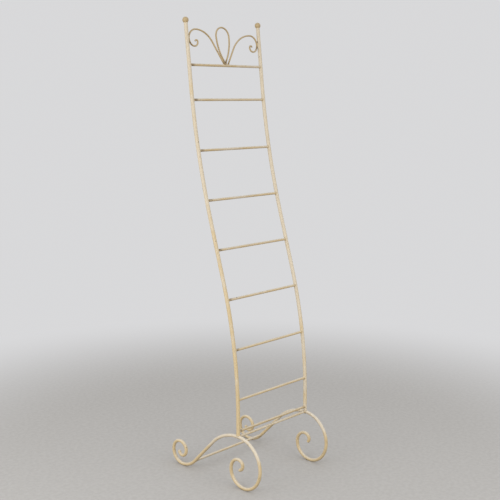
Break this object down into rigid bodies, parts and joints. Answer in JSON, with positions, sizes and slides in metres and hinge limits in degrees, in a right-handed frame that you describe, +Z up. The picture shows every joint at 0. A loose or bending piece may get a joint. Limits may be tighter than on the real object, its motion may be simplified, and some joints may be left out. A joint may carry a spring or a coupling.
{
  "type": "towel ladder",
  "caption": "Freestanding towel ladder of painted steel: S-curved tubular stiles with ball finials, round rungs, a crest of scrolls around a loop, and scrolled rod feet tied by cross rods.",
  "frame": {"origin": "on the floor, midway between the stiles and midway between the front and the rear scroll of the feet", "axes": "+Z up, +X to the right as seen from the front, +Y to the back, where the ladder leans"},
  "size_m": [0.424, 0.5134, 1.8223],
  "materials": {
    "stile_paint": "aged cream paint, satin, rubbed brown at welds and edges",
    "finial_paint": "aged cream paint, satin, rubbed brown at welds and edges",
    "rung_paint": "aged cream paint, satin, rubbed brown at welds and edges",
    "crest_paint": "aged cream paint, satin, rubbed brown at welds and edges",
    "foot_paint": "aged cream paint, satin, rubbed brown at welds and edges",
    "base_rod_paint": "aged cream paint, satin, rubbed brown at welds and edges",
    "plated_steel": "zinc plated"
  },
  "bodies": {
    "root": {"left_stile": "stile_paint", "right_stile": "stile_paint", "left_finial": "finial_paint", "right_finial": "finial_paint", "rung_1": "rung_paint", "rung_2": "rung_paint", "rung_3": "rung_paint", "rung_4": "rung_paint", "rung_5": "rung_paint", "rung_6": "rung_paint", "rung_7": "rung_paint", "rung_8": "rung_paint", "rung_9": "rung_paint", "crest_scroll_left": "crest_paint", "crest_scroll_right": "crest_paint", "crest_loop": "crest_paint", "left_foot": "foot_paint", "right_foot": "foot_paint", "base_crossbar": "base_rod_paint", "rear_stretcher": "base_rod_paint", "left_plug": "plated_steel", "right_plug": "plated_steel", "foot_bolts": "plated_steel"}
  },
  "joints": []
}
